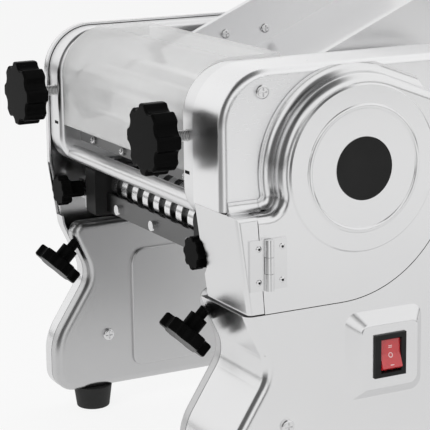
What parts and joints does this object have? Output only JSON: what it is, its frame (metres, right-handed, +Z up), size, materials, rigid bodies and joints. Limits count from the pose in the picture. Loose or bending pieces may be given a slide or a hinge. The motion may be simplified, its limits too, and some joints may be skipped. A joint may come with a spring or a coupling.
{
  "type": "electric pasta roller machine",
  "caption": "Countertop electric dough sheeter with adjustable press rollers, a grooved noodle cutter, a sloping feed tray, a clear hood and a hinged gear cover.",
  "frame": {"origin": "middle of the machine's footprint on the counter", "axes": "+X along the rollers to the drive side, +Y from the knobs to the feed tray at the back, +Z up"},
  "size_m": [0.3392, 0.329, 0.3833],
  "materials": {
    "polished_steel": "polished stainless sheet",
    "satin_steel": "satin stainless sheet",
    "roller_steel": "ground bright",
    "gear_steel": "machined",
    "screw_steel": "bright plated",
    "black_plastic": "moulded gloss black",
    "red_plastic": "translucent red",
    "clear_plastic": "clear moulded",
    "rubber": "matte",
    "black_paint": "satin black",
    "bronze": "sintered",
    "pulley_metal": "cast and turned"
  },
  "bodies": {
    "frame": {"casing_screws": "screw_steel", "clear_hood": "clear_plastic", "counter_shaft": "gear_steel", "cutter_end_blocks": "black_paint", "cutter_guide_plate": "satin_steel", "cutter_pins": "gear_steel", "drive_belt": "rubber", "feed_tray": "satin_steel", "front_tie_bar": "satin_steel", "guide_plate_bolts": "screw_steel", "hinge_fixed_leaf": "satin_steel", "hinge_pin": "satin_steel", "hinge_post": "polished_steel", "idler_shaft": "gear_steel", "left_inner_leg": "satin_steel", "left_leg_bracket": "satin_steel", "left_outer_shell": "polished_steel", "left_side_frame": "satin_steel", "motor": "black_paint", "rear_bearing_bushes": "bronze", "rear_tie_bar": "satin_steel", "right_inner_leg": "satin_steel", "right_leg_bracket": "satin_steel", "right_lower_shell": "polished_steel", "right_side_frame": "satin_steel", "right_upper_shell": "polished_steel", "roller_scraper": "satin_steel", "rubber_feet": "rubber", "scraper_screws": "screw_steel", "switch_bezel": "black_plastic", "tray_screws": "screw_steel"},
    "door": {"gear_cover_door": "polished_steel", "door_badge": "black_plastic", "hinge_moving_leaf": "satin_steel"},
    "carriage": {"front_bearing_blocks": "black_paint"},
    "front_press_roller": {"front_roller": "roller_steel", "front_roller_gear": "gear_steel"},
    "rear_press_roller": {"rear_roller": "roller_steel", "rear_roller_gear": "gear_steel"},
    "counter_wheel": {"counter_pinion": "gear_steel", "large_pulley": "pulley_metal"},
    "motor_rotor": {"motor_shaft": "gear_steel", "motor_pulley": "pulley_metal"},
    "idler": {"idler_gear": "gear_steel"},
    "cutter_front": {"cutter_front_roller": "roller_steel", "cutter_front_pair_gear": "gear_steel"},
    "cutter_rear": {"cutter_rear_roller": "roller_steel", "cutter_gear": "gear_steel", "cutter_rear_pair_gear": "gear_steel"},
    "left_gap_screw": {"left_gap_knob": "black_plastic", "left_gap_stud": "gear_steel"},
    "right_gap_screw": {"right_gap_knob": "black_plastic", "right_gap_stud": "gear_steel"},
    "left_cutter_clamp": {"left_cutter_knob": "black_plastic"},
    "right_cutter_clamp": {"right_cutter_knob": "black_plastic"},
    "left_leg_clamp": {"left_leg_knob": "black_plastic"},
    "right_leg_clamp": {"right_leg_knob": "black_plastic"},
    "rocker": {"switch_rocker": "red_plastic"}
  },
  "joints": [
    {"name": "rear_roller_spin", "type": "hinge", "parent": "frame", "child": "rear_press_roller", "pos_m": [-0.02937, -0.05697, 0.27], "axis": [1, 0, 0], "continuous": true},
    {"name": "gap_slide", "type": "slide", "parent": "frame", "child": "carriage", "axis": [0, -1, 0], "range_m": [0, 0.003]},
    {"name": "front_roller_spin", "type": "hinge", "parent": "carriage", "child": "front_press_roller", "pos_m": [-0.02937, -0.09847, 0.27], "axis": [1, 0, 0], "continuous": true},
    {"name": "left_gap_turn", "type": "hinge", "parent": "carriage", "child": "left_gap_screw", "pos_m": [-0.14437, -0.16447, 0.27], "axis": [0, 1, 0], "range_deg": [0, 864]},
    {"name": "right_gap_turn", "type": "hinge", "parent": "carriage", "child": "right_gap_screw", "pos_m": [0.08563, -0.16447, 0.27], "axis": [0, 1, 0], "range_deg": [0, 864]},
    {"name": "counter_spin", "type": "hinge", "parent": "frame", "child": "counter_wheel", "pos_m": [-0.02937, -0.03153, 0.24866], "axis": [1, 0, 0], "continuous": true},
    {"name": "motor_spin", "type": "hinge", "parent": "frame", "child": "motor_rotor", "pos_m": [-0.02937, -0.01447, 0.076], "axis": [1, 0, 0], "continuous": true},
    {"name": "idler_spin", "type": "hinge", "parent": "frame", "child": "idler", "pos_m": [-0.02937, -0.06558, 0.23153], "axis": [1, 0, 0], "continuous": true},
    {"name": "cutter_front_spin", "type": "hinge", "parent": "frame", "child": "cutter_front", "pos_m": [-0.02937, -0.08553, 0.19432], "axis": [1, 0, 0], "continuous": true},
    {"name": "cutter_rear_spin", "type": "hinge", "parent": "frame", "child": "cutter_rear", "pos_m": [-0.02937, -0.06229, 0.19432], "axis": [1, 0, 0], "continuous": true},
    {"name": "door_swing", "type": "hinge", "parent": "frame", "child": "door", "pos_m": [0.15973, -0.10777, 0.1915], "axis": [0, 0, -1], "range_deg": [0, 105]},
    {"name": "rocker_tilt", "type": "hinge", "parent": "frame", "child": "rocker", "pos_m": [0.16123, -0.01517, 0.116], "axis": [0, 1, 0], "range_deg": [0, 24]},
    {"name": "left_cutter_clamp_turn", "type": "hinge", "parent": "frame", "child": "left_cutter_clamp", "pos_m": [-0.14737, -0.13047, 0.187], "axis": [0, 1, 0], "range_deg": [0, 720]},
    {"name": "left_leg_clamp_turn", "type": "hinge", "parent": "frame", "child": "left_leg_clamp", "pos_m": [-0.14337, -0.13747, 0.124], "axis": [0, 0.7071, 0.7071], "range_deg": [0, 720]},
    {"name": "right_cutter_clamp_turn", "type": "hinge", "parent": "frame", "child": "right_cutter_clamp", "pos_m": [0.08863, -0.13047, 0.187], "axis": [0, 1, 0], "range_deg": [0, 720]},
    {"name": "right_leg_clamp_turn", "type": "hinge", "parent": "frame", "child": "right_leg_clamp", "pos_m": [0.08463, -0.13747, 0.124], "axis": [0, 0.7071, 0.7071], "range_deg": [0, 720]}
  ],
  "couplings": [
    {"joint": "front_roller_spin", "follows": "rear_roller_spin", "ratio": -1},
    {"joint": "counter_spin", "follows": "rear_roller_spin", "ratio": -1.6667},
    {"joint": "motor_spin", "follows": "rear_roller_spin", "ratio": -6.6667},
    {"joint": "idler_spin", "follows": "rear_roller_spin", "ratio": -1.1111},
    {"joint": "cutter_front_spin", "follows": "rear_roller_spin", "ratio": -1.1111},
    {"joint": "cutter_rear_spin", "follows": "rear_roller_spin", "ratio": 1.1111},
    {"joint": "left_gap_turn", "follows": "gap_slide", "rad_per_m": 5026.5},
    {"joint": "right_gap_turn", "follows": "gap_slide", "rad_per_m": 5026.5}
  ]
}
